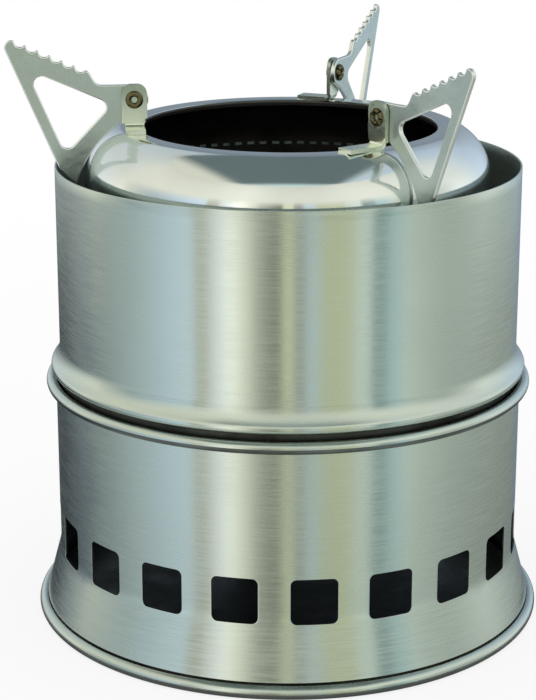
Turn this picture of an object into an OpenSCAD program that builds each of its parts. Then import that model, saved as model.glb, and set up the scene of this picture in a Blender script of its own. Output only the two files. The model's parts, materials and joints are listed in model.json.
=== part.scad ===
// Nesting twig stove: a windowed base, an outer body, a fire chamber with a domed top, a grate, and three
// pot arms that fold into the mouth. Millimetres, +Z up, origin at the centre of the ring it stands on.

/* [Sheet] */
// Thickness of the pressed shells
sheet_t = 0.5; // [0.4:0.05:0.7]
// Thickness of the pot arms
arm_t = 1.2; // [0.8:0.1:1.6]
// Thickness of the arm brackets
bracket_t = 1; // [0.8:0.1:1.4]

/* [Base] */
// Outer diameter of the base wall
base_d = 121.8; // [116:0.2:136]
// Height of the base, to the top of its rolled rim
base_h = 64.4; // [58:0.2:76]
// How far the foot flares out from the wall
foot_flare = 4; // [2.5:0.1:6]
// Height at which the foot starts to flare
foot_h = 18; // [14:0.5:22]
// Radius that blends the flare into the wall
foot_blend = 14; // [6:1:24]
// Outside diameter of the rolled bead under the foot
foot_roll_d = 3.5; // [2.6:0.1:4.4]
// Depth of the flat worn on the underside of that bead
foot_land = 0.25; // [0.15:0.05:0.35]
// How far the middle of that bead lies outside the foot of the flare
foot_roll_out = 0.35; // [0:0.05:0.6]
// Outside diameter of the base's rolled rim
rim_roll_d = 3; // [2.4:0.1:3.8]
// Height of the floor pan above the ground
floor_z = 4.6; // [4:0.1:8]

/* [Air windows] */
// Number of windows
window_count = 19; // [11:1:19]
// Angle from one window to the next
window_pitch = 18.4; // [16:0.1:18.9]
// Direction of the middle window, from +X
window_turn = 276.2; // [0:0.1:360]
// Width and height of a window
window_w = 11.6; // [6:0.2:14]
// Height of the middle of the windows
window_z = 23.2; // [22:0.2:40]
// Corner radius of a window
window_round = 1.5; // [0.5:0.1:2.5]

/* [Body] */
// Gap between the body and the base when the body is nested in it
nest_gap = 0.65; // [0.4:0.05:1.2]
// Height of the body's rim above the base's rim
body_h = 54.9; // [45:0.1:70]
// Outside diameter of the body's swaged bead
swage_d = 2.9; // [2.2:0.1:3.4]
// How far that bead stands out from the body wall
swage_out = 2.3; // [1.4:0.1:2.8]
// Height of the middle of that bead above the base's rim
swage_rise = 2.9; // [2.5:0.1:4]
// Distance of the riser under that bead inside the middle of the base's rim
riser_in = 1.1; // [0.8:0.05:1.4]
// Height of the slope from the top of that bead to the wall
swage_slope = 0.75; // [0.5:0.05:1.5]
// How far the body's spigot reaches down into the base
spigot_h = 6.9; // [5:0.1:12]
// Width of the lip turned in at the foot of the spigot
spigot_lip = 4.5; // [3:0.1:5]

/* [Support ring and grate] */
// Radial width of the air gap between chamber and body
air_gap = 7.25; // [6.2:0.05:10]
// Diameter of the air holes in the support ring
ring_hole_d = 4.6; // [3:0.1:5]
// Number of air holes in the support ring
ring_hole_count = 24; // [12:1:30]
// Height of the raised seat for the grate
grate_seat_h = 3; // [2:0.1:6]
// Width of the raised seat for the grate
grate_seat_w = 5; // [3:0.1:8]
// Thickness of the grate
grate_t = 0.8; // [0.5:0.1:1.5]
// Diameter of the holes in the grate
grate_hole_d = 5.5; // [3:0.1:6]
// Distance from one ring of grate holes to the next
grate_pitch = 9.2; // [7.5:0.1:12]
// Least width of metal between the outer holes and the seat
grate_margin = 1; // [0.5:0.1:2]

/* [Fire chamber] */
// Diameter of the mouth
mouth_d = 75.8; // [66:0.2:84]
// Width of the flat lip round the mouth
lip_w = 4.6; // [4:0.1:5.5]
// Depth of the edge turned down inside the mouth
lip_turn = 1.6; // [1:0.1:3]
// Height of the lip above the body's rim
crown_rise = 9.7; // [7:0.1:12]
// Height of the domed shoulder
dome_drop = 13.3; // [11:0.1:18]
// Width of the secondary air slots under the dome
jet_w = 2; // [1:0.1:2.4]
// Height of those slots
jet_h = 0.8; // [0.5:0.1:1.6]
// Number of those slots
jet_count = 92; // [60:1:100]
// Depth of those slots below the lip
jet_drop = 14.4; // [14.2:0.1:20]

/* [Pot arms] */
// Direction of the left arm, from +X
arm_turn = 187.5; // [0:0.5:360]
// Distance from the stove's radius to the middle of each arm plate
arm_side = 2; // [1.5:0.1:3]
// Distance of the pivots outside the mouth's edge
pivot_out = 1.5; // [0.5:0.1:2.5]
// Height of the pivots above the lip
pivot_rise = 7.6; // [6.5:0.1:9]
// Radius of the arm's round end at the pivot
neck_r = 3.6; // [3:0.1:4]
// Distance from the pivot to the step in the arm's upper edge
step_u = 9.3; // [7.5:0.1:11]
// Radius in the corner of that step
step_round = 2.4; // [1:0.1:3]
// Distance from the pivot, outward, to the heel of the serrated edge
heel_u = 11.2; // [10:0.1:13]
// Height of that heel above the pivot
heel_w = 6.95; // [5.5:0.05:8]
// Slope of the serrated edge
seat_slope = 23.6; // [15:0.1:30]
// Length of the serrated edge
seat_len = 24.2; // [20:0.1:26]
// Radius of the heel
heel_round = 0.8; // [0.4:0.1:1.2]
// Radius of the arm's tip
tip_round = 1.7; // [0.8:0.1:2.5]
// Number of serrations
notch_count = 6; // [3:1:6]
// Radius of a serration
notch_r = 1.45; // [1.2:0.05:1.7]
// Depth of a serration
notch_depth = 0.95; // [0.5:0.02:1.1]
// Distance from one serration to the next
notch_pitch = 3.25; // [2.9:0.05:3.4]
// Distance from the heel to the first serration
notch_start = 2.3; // [1.8:0.05:3]
// Radius of the toe's outer corner
toe_round = 0.8; // [0.4:0.1:1.2]
// Angle of the toe's outer corner below the pivot's level
toe_angle = 42.8; // [38:0.1:46]
// Radius of the arm's hollow edge that faces the dome
hug_r = 30; // [22:0.5:40]
// Direction from the dome in which that edge comes closest
hug_angle = 38; // [34:0.5:42]
// Width of metal above the arm's window
window_top_band = 5.3; // [4.5:0.1:6]
// Width of metal outside the arm's window
window_outer_band = 2.8; // [2:0.1:3.5]
// Width of metal between the arm's window and the dome
window_inner_band = 4.1; // [3.5:0.1:5]
// Direction that the window's inner edge faces
window_lean = 44; // [40:0.5:48]
// Corner radius of the arm's window
arm_window_round = 2; // [1:0.1:2.4]

/* [Brackets and rivets] */
// Width of a bracket's upright tab
tab_w = 6.4; // [6:0.1:8]
// Height of the tab above the pivot
tab_rise = 3.9; // [3.2:0.1:4.6]
// Radius of the tab's upper corners
tab_round = 2.4; // [1:0.1:2.8]
// Width of a bracket's foot
foot_w = 4.8; // [4:0.1:5.5]
// Length of the left bracket's foot along the lip
foot_len_left = 6.2; // [5:0.1:11]
// Length of the right bracket's foot along the lip
foot_len_right = 9.8; // [5:0.1:11]
// Length of the back bracket's foot along the lip
foot_len_back = 8.9; // [5:0.1:11]
// Inner radius of the bracket's bend
bend_r = 0.6; // [0.3:0.1:1]
// Diameter of a rivet's shank
rivet_d = 3; // [2.4:0.1:3.4]
// Diameter of the hole through a rivet
rivet_bore_d = 1.5; // [1:0.1:1.8]
// Diameter of a rivet's rolled heads
rivet_head_d = 4.5; // [4:0.1:5]

/* [Clearances] */
// Radial clearance of an arm on its rivet
pivot_clearance = 0.06; // [0.02:0.01:0.1]
// Radial clearance of a bracket on its rivet
rivet_clearance = 0.02; // [0.01:0.01:0.05]
// Gap on each side of an arm plate
arm_clearance = 0.15; // [0.1:0.05:0.3]
// Gap between an open arm and the dome
stop_clearance = 0.4; // [0.3:0.05:1]
// Gap between a folding arm's toe and the body's rim
swing_clearance = 0.4; // [0.3:0.05:1]
// Gap under each piece that lifts off its seat
seat_clearance = 0.15; // [0.1:0.05:0.3]
// Gap round each piece that lifts off its seat
slip_clearance = 0.35; // [0.3:0.05:0.6]
// Gap between pieces that are pressed together
press_clearance = 0.05; // [0.02:0.01:0.1]

/* [Hidden] */
$fn = 96;

// Base: wall radii, rolled edges and the corner where the flare meets the foot bead
base_r = base_d / 2;
foot_roll_r = foot_roll_d / 2;
foot_roll_z = foot_roll_r - foot_land;
foot_roll_c = [base_r + foot_flare + foot_roll_out, foot_roll_z];
foot_crease = foot_roll_c + [-foot_roll_out, sqrt(foot_roll_r * foot_roll_r - foot_roll_out * foot_roll_out)];
foot_curl = [-150, acos(-foot_roll_out / foot_roll_r)];
flare_angle = atan(foot_flare / (foot_h - foot_crease[1]));
flare_tangent = foot_blend * tan(flare_angle / 2);
rim_roll_r = rim_roll_d / 2;
rim_roll_c = [base_r + rim_roll_r - sheet_t, base_h - rim_roll_r];
rim_curl = [180, -115];
floor_r = foot_roll_c[0] - foot_roll_r - press_clearance;

// Body: the shoulder under its bead rests on the inner round of the base's rim
body_r = base_r - sheet_t - nest_gap;
body_in_r = body_r - sheet_t;
rim_z = base_h + body_h;
swage_r = swage_d / 2;
swage_c = [body_r + swage_out - swage_r, base_h + swage_rise];
seat_angle = 150;
seat_touch = rim_roll_c + (rim_roll_r + slip_clearance) * [cos(seat_angle), sin(seat_angle)];
seat_run = (seat_touch[0] - body_r) * tan(seat_angle - 90);
riser_r = rim_roll_c[0] - riser_in;
riser_z = seat_touch[1] + (riser_r - seat_touch[0]) * tan(seat_angle - 90);
swage_end = 70;
spigot_z = base_h - spigot_h;
spigot_round = 1;

// Support ring and grate
ring_z = spigot_z + sheet_t;
ring_r = body_r - spigot_round - press_clearance;
chamber_r = body_in_r - air_gap;
chamber_in_r = chamber_r - sheet_t;
boss_r = chamber_in_r - slip_clearance;
boss_z = ring_z + sheet_t + grate_seat_h;
ring_hole_at = (chamber_r + ring_r) / 2;
grate_r = boss_r - slip_clearance;
grate_z = boss_z + seat_clearance;
grate_rings = floor((boss_r - grate_seat_w - grate_hole_d / 2 - grate_margin) / grate_pitch);

// Fire chamber: the dome is an arc from the lip down to an upright tangent at the wall
chamber_z = ring_z + sheet_t + seat_clearance;
mouth_r = mouth_d / 2;
lip_z = rim_z + crown_rise;
lip_r = mouth_r + lip_w;
dome_run = chamber_r - lip_r;
dome_r = (dome_run * dome_run + dome_drop * dome_drop) / (2 * dome_run);
dome_c = [chamber_r - dome_r, lip_z - dome_drop];
dome_start = atan2(dome_drop, lip_r - dome_c[0]);
lip_round = 0.8;

// Arms: outlines are in the arm's own plane, outward and up from its pivot
pivot_r = mouth_r + pivot_out;
pivot_z = lip_z + pivot_rise;
pivot = [pivot_r, pivot_z];
arm_spacing = 120;
rivet_r = rivet_d / 2;
rivet_bore_r = rivet_bore_d / 2;
rivet_head_r = rivet_head_d / 2;
arm_reach_out = arm_side + arm_t / 2;
rim_in_plane = sqrt(body_in_r * body_in_r - arm_reach_out * arm_reach_out);
toe_r = norm([rim_in_plane, rim_z] - pivot) - swing_clearance;
heel = [heel_u, heel_w];
tip = heel + seat_len * ray(seat_slope);
toe = toe_r * ray(-toe_angle);
toe_sweep = 25;
toe_steps = 8;
outer_slope = atan2(tip[1] - toe[1], tip[0] - toe[0]);
hug_c = dome_c - pivot - (hug_r - dome_r - stop_clearance) * ray(hug_angle);
arm_window = [
    meet(heel - window_top_band * ray(seat_slope + 90), seat_slope,
         hug_c + (hug_r + window_inner_band) * ray(window_lean), window_lean + 90),
    meet(hug_c + (hug_r + window_inner_band) * ray(window_lean), window_lean + 90,
         toe + window_outer_band * ray(outer_slope + 90), outer_slope),
    meet(toe + window_outer_band * ray(outer_slope + 90), outer_slope,
         heel - window_top_band * ray(seat_slope + 90), seat_slope)];

// Brackets: the tab stands beside the arm, the foot lies on the lip
tab_y = arm_reach_out + arm_clearance;
tab_out_y = tab_y + bracket_t;

// Plane geometry
function ray(angle) = [cos(angle), sin(angle)];
function unit(v) = v / norm(v);
function left_of(v) = [-v[1], v[0]];
function cross2(a, b) = a[0] * b[1] - a[1] * b[0];

// Points along an arc
function arc(c, r, from, to, steps = 8) =
    [for (i = [0:steps]) c + r * ray(from + (to - from) * i / steps)];

// Where two lines cross, each given by a point and a direction
function meet(p, a, q, b) = p + ray(a) * cross2(q - p, ray(b)) / cross2(ray(a), ray(b));

// Direction in which a vertex of a path moves when the path is thickened, with its mitre
function mitre(path, i) =
    let (last = len(path) - 1,
         before = unit(path[max(i, 1)] - path[max(i, 1) - 1]),
         after = unit(path[min(i, last - 1) + 1] - path[min(i, last - 1)]),
         middle = unit(left_of(before) + left_of(after)))
    middle / (middle * left_of(before));

// Outline of a sheet of thickness t on the left of a path
function band(path, t) =
    concat(path, [for (i = [len(path) - 1:-1:0]) path[i] + t * mitre(path, i)]);

// One corner of an outline, rounded to radius r
function corner(before, at, after, r, steps) =
    let (a = unit(before - at), b = unit(after - at),
         half = acos(max(-1, min(1, a * b))) / 2,
         c = at + unit(a + b) * r / sin(half),
         p = at + a * r / tan(half), q = at + b * r / tan(half),
         start = atan2(p[1] - c[1], p[0] - c[0]),
         turn = atan2(q[1] - c[1], q[0] - c[0]) - start,
         sweep = turn > 180 ? turn - 360 : turn < -180 ? turn + 360 : turn)
    arc(c, r, start, start + sweep, steps);

// An outline with each corner rounded to its own radius, where 0 leaves it sharp
function rounded(points, radii, steps = 6) =
    [for (i = [0:len(points) - 1]) let (n = len(points))
        each radii[i] > 0
            ? corner(points[(i + n - 1) % n], points[i], points[(i + 1) % n], radii[i], steps)
            : [points[i]]];

// A shell turned from a sheet path
module turned(path, t = sheet_t) {
    rotate_extrude() polygon(band(path, t));
}

// Copies of a piece in a ring about the stove's axis
module ring_of(count, first = 0) {
    for (i = [0:count - 1]) rotate([0, 0, first + i * 360 / count]) children();
}

// Base shell: bead under the foot, flare, wall and outward rolled rim, pierced by the windows
module base_shell() {
    color([0.66, 0.70, 0.67])
    difference() {
        turned(concat(
            arc(foot_roll_c, foot_roll_r, foot_curl[0], foot_curl[1], 14),
            arc([base_r + foot_blend, foot_h + flare_tangent], foot_blend, 180 + flare_angle, 180, 5),
            arc(rim_roll_c, rim_roll_r - sheet_t, rim_curl[0], rim_curl[1], 14)));
        translate([0, 0, -foot_roll_d]) cylinder(r = base_r + 2 * foot_flare + foot_roll_d, h = foot_roll_d);
        for (i = [0:window_count - 1])
            rotate([0, 0, window_turn + (i - (window_count - 1) / 2) * window_pitch]) air_window();
    }
}

// One air window as a cutter along +X
module air_window() {
    half = window_w / 2;
    square_points = [[-half, -half], [half, -half], [half, half], [-half, half]];
    translate([base_r - foot_flare, 0, window_z]) rotate([90, 0, 90])
        linear_extrude(2 * foot_flare)
            polygon(rounded(square_points, [for (p = square_points) window_round]));
}

// Floor pan: a disc with its edge turned down inside the foot bead
module base_floor() {
    turn_r = 1;
    color([0.55, 0.57, 0.56])
    turned(concat(
        [[floor_r, foot_land + sheet_t]],
        arc([floor_r - turn_r, floor_z - turn_r], turn_r, 0, 90, 5),
        [[0, floor_z]]));
}

// Body shell: turned-in lip, spigot, shoulder, swaged bead and plain wall
module body_shell() {
    color([0.68, 0.72, 0.69])
    turned(concat(
        [[body_r - spigot_lip, spigot_z]],
        arc([body_r - spigot_round, spigot_z + spigot_round], spigot_round, -90, 0, 5),
        [[body_r, seat_touch[1] - seat_run], [riser_r, riser_z]],
        arc(swage_c, swage_r, -acos((riser_r - swage_c[0]) / swage_r), swage_end, 12),
        [[body_r, swage_c[1] + swage_r + swage_slope], [body_r, rim_z]]));
}

// Support ring: flat rim with air holes, stepped up to a seat for the grate
module support_ring() {
    color([0.55, 0.57, 0.56])
    difference() {
        turned([[ring_r, ring_z], [boss_r - sheet_t, ring_z], [boss_r - sheet_t, boss_z - sheet_t],
                [boss_r - grate_seat_w, boss_z - sheet_t]], -sheet_t);
        ring_of(ring_hole_count)
            translate([ring_hole_at, 0, ring_z - sheet_t]) cylinder(d = ring_hole_d, h = 3 * sheet_t);
    }
}

// Fire chamber: wall, domed shoulder, flat lip and turned-down mouth, with its ring of air slots
module fire_chamber() {
    color([0.78, 0.80, 0.80])
    difference() {
        turned(concat(
            [[chamber_r, chamber_z]],
            arc(dome_c, dome_r, 0, dome_start, 16),
            arc([mouth_r + lip_round, lip_z - lip_round], lip_round, 90, 180, 5),
            [[mouth_r, lip_z - lip_turn]]), sheet_t);
        ring_of(jet_count) translate([chamber_r - 2 * sheet_t, -jet_w / 2, lip_z - jet_drop - jet_h / 2])
            cube([3 * sheet_t, jet_w, jet_h]);
    }
}

// Grate: perforated disc
module grate() {
    color([0.45, 0.46, 0.46])
    difference() {
        translate([0, 0, grate_z]) cylinder(r = grate_r, h = grate_t);
        translate([0, 0, grate_z - grate_t]) {
            cylinder(d = grate_hole_d, h = 3 * grate_t);
            for (k = [1:grate_rings])
                ring_of(6 * k, 30 * k)
                    translate([k * grate_pitch, 0, 0]) cylinder(d = grate_hole_d, h = 3 * grate_t);
        }
    }
}

// Places a piece in the frame of one arm: outward along X, bracket side along Y, origin at the pivot
module at_arm(place, hand) {
    rotate([0, 0, arm_turn + place * arm_spacing]) mirror([0, hand < 0 ? 1 : 0, 0])
        translate([pivot_r, 0, pivot_z]) children();
}

// Turns a plane outline upright, so that its second axis points up
module upright(thickness) {
    rotate([90, 0, 0]) linear_extrude(thickness, center = true) children();
}

// Pot arm: neck round the pivot, serrated seat, toe beside the dome and a three-cornered window
module pot_arm(place, hand) {
    neck = arc([0, 0], neck_r, 270, 90, 16);
    toe_edge = [for (i = [1:toe_steps]) toe_r * ray(-toe_angle - i * toe_sweep / toe_steps)];
    outline = concat(neck, [[step_u, neck_r], heel, tip, toe], toe_edge);
    radii = concat([for (p = neck) 0], [step_round, heel_round, tip_round, toe_round],
                   [for (p = toe_edge) 0]);
    color([0.74, 0.76, 0.75])
    at_arm(place, hand) translate([0, arm_side, 0]) upright(arm_t) difference() {
        polygon(rounded(outline, radii));
        circle(rivet_r + pivot_clearance);
        translate(hug_c) circle(hug_r);
        polygon(rounded(arm_window, [for (p = arm_window) arm_window_round]));
        for (i = [0:notch_count - 1])
            translate(heel + (notch_start + i * notch_pitch) * ray(seat_slope)
                      + (notch_r - notch_depth) * ray(seat_slope + 90)) circle(notch_r);
    }
}

// Bracket: upright tab with the rivet hole, a bend, and a foot along the lip
module bracket(place, hand, foot_len) {
    bend_z = bracket_t + bend_r - pivot_rise;
    tab = [[-tab_w / 2, bend_z], [tab_w / 2, bend_z], [tab_w / 2, tab_rise], [-tab_w / 2, tab_rise]];
    strip = concat(
        [[tab_out_y + foot_len, -pivot_rise]],
        arc([tab_out_y + bend_r, bend_z], bend_r + bracket_t, 270, 180),
        [[tab_y, bend_z + bracket_t]]);
    color([0.72, 0.72, 0.66])
    at_arm(place, hand) difference() {
        union() {
            translate([0, tab_y + bracket_t / 2, 0]) upright(bracket_t)
                polygon(rounded(tab, [0, 0, tab_round, tab_round]));
            translate([-foot_w / 2, 0, 0]) rotate([90, 0, 90])
                linear_extrude(foot_w) polygon(band(strip, -bracket_t));
        }
        translate([0, tab_y - bracket_t, 0]) rotate([-90, 0, 0])
            cylinder(r = rivet_r + rivet_clearance, h = 3 * bracket_t);
    }
}

// Tubular rivet: a hollow shank with both ends rolled over
module rivet(place, hand) {
    low = arm_side - arm_t / 2 - arm_clearance;
    roll_r = (rivet_head_r - rivet_bore_r) / 2;
    color([0.66, 0.52, 0.30])
    at_arm(place, hand) rotate([-90, 0, 0]) rotate_extrude() {
        translate([rivet_bore_r, low]) square([rivet_r - rivet_bore_r, tab_out_y - low]);
        for (end = [low, tab_out_y]) intersection() {
            translate([rivet_bore_r + roll_r, end]) circle(roll_r);
            translate([0, end == low ? low - roll_r : tab_out_y]) square([rivet_head_r, roll_r]);
        }
    }
}

// Left and back arms have their brackets on the anticlockwise side, the right arm on the clockwise side
module bracket_left() { bracket(0, 1, foot_len_left); }
module bracket_right() { bracket(1, -1, foot_len_right); }
module bracket_back() { bracket(2, 1, foot_len_back); }
module arm_left() { pot_arm(0, 1); }
module arm_right() { pot_arm(1, -1); }
module arm_back() { pot_arm(2, 1); }
module rivet_left() { rivet(0, 1); }
module rivet_right() { rivet(1, -1); }
module rivet_back() { rivet(2, 1); }

base_shell();
base_floor();
body_shell();
support_ring();
fire_chamber();
grate();
bracket_left();
bracket_right();
bracket_back();
arm_left();
arm_right();
arm_back();
rivet_left();
rivet_right();
rivet_back();
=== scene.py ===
"""Twig stove: the finishes and smooth shells of a nesting wood stove, around its packed construction."""
import json
import math

import bmesh
import bpy
from bpy.props import FloatProperty, FloatVectorProperty, IntProperty, PointerProperty
from bpy.types import Operator, Panel, PropertyGroup
from mathutils import Matrix, Vector


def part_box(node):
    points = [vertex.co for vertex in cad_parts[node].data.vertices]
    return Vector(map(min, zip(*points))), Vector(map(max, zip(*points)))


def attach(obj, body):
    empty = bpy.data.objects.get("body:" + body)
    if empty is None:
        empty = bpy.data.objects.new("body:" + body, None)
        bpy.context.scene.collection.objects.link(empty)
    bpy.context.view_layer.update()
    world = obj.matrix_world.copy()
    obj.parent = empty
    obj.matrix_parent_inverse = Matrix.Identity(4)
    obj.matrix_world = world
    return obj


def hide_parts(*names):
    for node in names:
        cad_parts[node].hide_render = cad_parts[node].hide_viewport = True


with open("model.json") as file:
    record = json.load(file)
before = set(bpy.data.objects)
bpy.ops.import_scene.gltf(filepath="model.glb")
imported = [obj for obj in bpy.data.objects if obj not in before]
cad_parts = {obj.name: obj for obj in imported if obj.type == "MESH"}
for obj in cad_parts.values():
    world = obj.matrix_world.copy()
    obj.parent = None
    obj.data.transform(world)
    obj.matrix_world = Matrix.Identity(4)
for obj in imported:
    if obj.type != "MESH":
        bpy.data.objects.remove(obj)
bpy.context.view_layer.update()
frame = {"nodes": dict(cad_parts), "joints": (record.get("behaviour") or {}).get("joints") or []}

bl_info = {
    "name": "Twig stove",
    "version": (1, 0, 0),
    "blender": (4, 5, 0),
    "location": "View3D > Sidebar > Stove",
    "description": "Builds the shells, pot arms and finishes of a twig stove",
    "category": "Object",
}

MM = 0.001
ARM_PLACES = ("left", "right", "back")

# Sheets: width of their broken edges, and the angle from which an edge is broken
SHEET_EDGE = 0.09 * MM
BROKEN_FROM = math.radians(50)
# Points closer than this are one point, before and after the sheets are thickened
JOIN_REACH = 0.001 * MM
WELD_REACH = 0.003 * MM
# Places of the rings of faces between a pierced cell's border, 0, and its hole, 1
CELL_RINGS = (0, 0.45, 0.8, 0.95, 1)
# Steps round a corner
ROUND_STEPS = 8

# Base: flat underside of the bead, turns between which the bead and the rim are rolled, steps of each
# stretch, and columns of faces over a window and over the seam
BEAD_FLAT = 0.25 * MM
BEAD_CURL = math.radians(-185)
BEAD_TOP = math.radians(112)
BEAD_STEPS = 34
RIM_CURL = math.radians(-115)
RIM_STEPS = 28
FLARE_STEPS = 8
WALL_STEPS = 10
WINDOW_SIDES = 12
WINDOW_ARC = 3
WINDOW_MARGIN = 1.9 * MM
SEAM_COLUMNS = 7

# Body: where its shoulder rests on the base's rim, its folds, and steps of each stretch
SEAT_TURN = math.radians(150)
FOLD = 0.5 * MM
FOLD_STEPS = 4
SWAGE_STEPS = 22
SWEEP_STEPS = 12
BODY_STEPS = 16
BODY_COLUMNS = 288

# Fire chamber: columns of faces over an air slot, margin of a slot's cell, and steps of each stretch
JET_SIDES = 4
JET_MARGIN = 0.2 * MM
CHAMBER_STEPS = 8
DOME_STEPS = 28
LIP_STEPS = 4

# Pot arms: steps of each stretch of the outline, and the turn at the toe that its corner is rounded into
HOLLOW_STEPS = 24
NECK_STEPS = 20
CORNER_STEPS = 5
NOTCH_STEPS = 10
TOE_RUN = math.radians(2)
TOE_STEPS = 6
BORE_STEPS = 24
# Faces this square to the plate are its flat sides
FLAT_FACE = 0.98

# Brackets: columns of faces across the strip, its broken edge, and steps of a straight stretch
BRACKET_COLUMNS = 10
BRACKET_EDGE = 0.16 * MM
STRIP_STEPS = 6

# Rivets: the arm whose rivet is splayed on its tab's side, and the splits of a splayed head, with the share
# of a sector that a lobe takes, the width of a split's walls and how far the head is rolled in a split
SPLAYED_AT_TAB = "right"
RIVET_STEPS = 14
RIVET_CREASE = math.radians(40)
SPLITS = 7
LOBE_COLUMNS = 7
LOBE_SHARE = 0.78
SPLIT_WALL = 0.04
SPLIT_ROLL = 0.55

# Ranges that noise is drawn out from, for fine marks and for clouds
MARK_RANGE = (0.3, 0.7)
CLOUD_RANGE = (0.35, 0.68)
# Finishes: tone and roughness at the low and the high end of each one's marks, and the strength and depth of
# its bump
BRUSHED_TONE = (0.955, 1.03)
BRUSHED_ROUGHNESS = (0.20, 0.27)
BRUSHED_HAZE = (0.0, 0.04)
BRUSHED_BUMP = (0.055, 0.02 * MM)
POLISHED_TONE = (0.97, 1.03)
POLISHED_ROUGHNESS = (0.08, 0.12)
POLISHED_HAZE = (0.0, 0.02)
POLISHED_BUMP = (0.03, 0.01 * MM)
SATIN_TONE = (0.95, 1.04)
SATIN_GRAIN = (0.0, 0.02)
SATIN_BUMP = (1.0, 0.12 * MM)
ARM_ROUGHNESS = (0.26, 0.38)
CUT_ROUGHNESS = (0.3, 0.4)
RIVET_ROUGHNESS = (0.22, 0.4)
STAIN_ROUGHNESS = (0.32, 0.5)
STAIN_BUMP = (0.1, 0.03 * MM)
# Bracket strip: what is left of each channel at its dull top, and the shares of height and clouds in that
DULL_STRIP = (0.44, 0.49, 0.48)
STRIP_TONE = 1.06
STRIP_ROUGHNESS = (0.2, 0.32)
DULL_BY_HEIGHT = (0.0, 0.8)
DULL_BY_CLOUDS = (0.0, 0.2)
# The body's inside is lighter at its rim and front as painted light, and darker lower down at the back as
# painted shade, over its stain
# Inside of the body: depth of the lit rim, where the lit front ends, and the shares of each in its tone
LIT_RIM_DEPTH = 18 * MM
LIT_FRONT = (-15 * MM, 20 * MM)
STAIN_AND_SHADE_TONE = 0.8
LIT_BY_RIM = (0.0, 0.75)
CLEAN_BY_CLOUDS = (0.0, 0.25)
SMOKED_ROUGHNESS = (0.26, 0.36)
SMOKED_DEPTH_ROUGHNESS = (0.45, 0.0)
SMOKED_BUMP = (0.08, 0.02 * MM)
# Stained tone against the inner steel's, and the light end of the soot and painted shade against its dark end
INNER_STAIN = 0.6
LIGHT_SOOT_AND_SHADE = 2.2


# Properties

def length(name, description, millimetres):
    """A length property, with its default in millimetres."""
    return FloatProperty(name=name, description=description, default=millimetres * MM, unit="LENGTH",
                         precision=5)


def angle(name, description, degrees):
    """An angle property, with its default in degrees."""
    return FloatProperty(name=name, description=description, default=math.radians(degrees), subtype="ANGLE")


def colour(name, description, red, green, blue):
    """A colour property, with its default as linear light."""
    return FloatVectorProperty(name=name, description=description, default=(red, green, blue),
                               subtype="COLOR", min=0, max=1)


class BaseSizes(PropertyGroup):
    """Sizes of the windowed base that its box doesn't give."""
    sheet: length("Sheet", "Thickness of the pressed shells", 0.5)
    wall_radius: length("Wall radius", "Outer radius of the base wall", 60.9)
    foot_height: length("Foot height", "Height at which the foot starts to flare", 18)
    foot_blend: length("Foot blend", "Radius that blends the flare into the wall", 14)
    foot_roll: length("Foot bead", "Outer radius of the rolled bead under the foot", 1.75)
    foot_roll_out: length("Bead offset", "How far the bead's middle lies outside the foot of the flare", 0.35)
    groove: length("Groove", "Depth of the groove between the flare and the bead", 0.5)
    rim_roll: length("Rim roll", "Outer radius of the rolled rim", 1.5)
    window_count: IntProperty(name="Windows", description="Number of air windows", default=19)
    window_pitch: angle("Window pitch", "Angle from one window to the next", 18.4)
    window_turn: angle("Window turn", "Direction of the middle window, from +X", 276.2)
    window_width: length("Window width", "Width and height of a window", 11.6)
    window_middle: length("Window middle", "Height of the middle of the windows", 23.2)
    window_corner: length("Window corner", "Corner radius of a window", 1.5)


class BodySizes(PropertyGroup):
    """Sizes of the outer body that its box doesn't give."""
    wall_radius: length("Wall radius", "Outer radius of the body wall", 59.75)
    bead_radius: length("Bead radius", "Outer radius of the swaged bead's round", 1.45)
    bead_rise: length("Bead rise", "Height of the bead's middle above the base's rim", 2.9)
    bead_end: angle("Bead end", "Where the bead's round ends and the sweep up to the wall starts", 42)
    riser_in: length("Riser", "Distance of the riser inside the middle of the base's rim", 1.6)
    seat_gap: length("Seat gap", "Gap between the shoulder and the base's rim", 0.35)
    spigot_lip: length("Spigot lip", "Width of the lip turned in under the body", 4.5)


class ChamberSizes(PropertyGroup):
    """Sizes of the fire chamber that its box doesn't give."""
    mouth_radius: length("Mouth radius", "Radius of the mouth", 37.9)
    lip_width: length("Lip width", "Width of the flat lip round the mouth", 4.6)
    lip_round: length("Lip round", "Radius of the bend at the mouth", 0.8)
    lip_turn: length("Lip turn", "Depth of the edge turned down inside the mouth", 1.6)
    dome_drop: length("Dome drop", "Height of the domed shoulder", 13.3)
    jet_count: IntProperty(name="Air slots", description="Number of air slots under the dome", default=92)
    jet_width: length("Slot width", "Width of an air slot", 2)
    jet_height: length("Slot height", "Height of an air slot", 0.8)
    jet_drop: length("Slot drop", "Depth of the air slots below the lip", 14.4)


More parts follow.
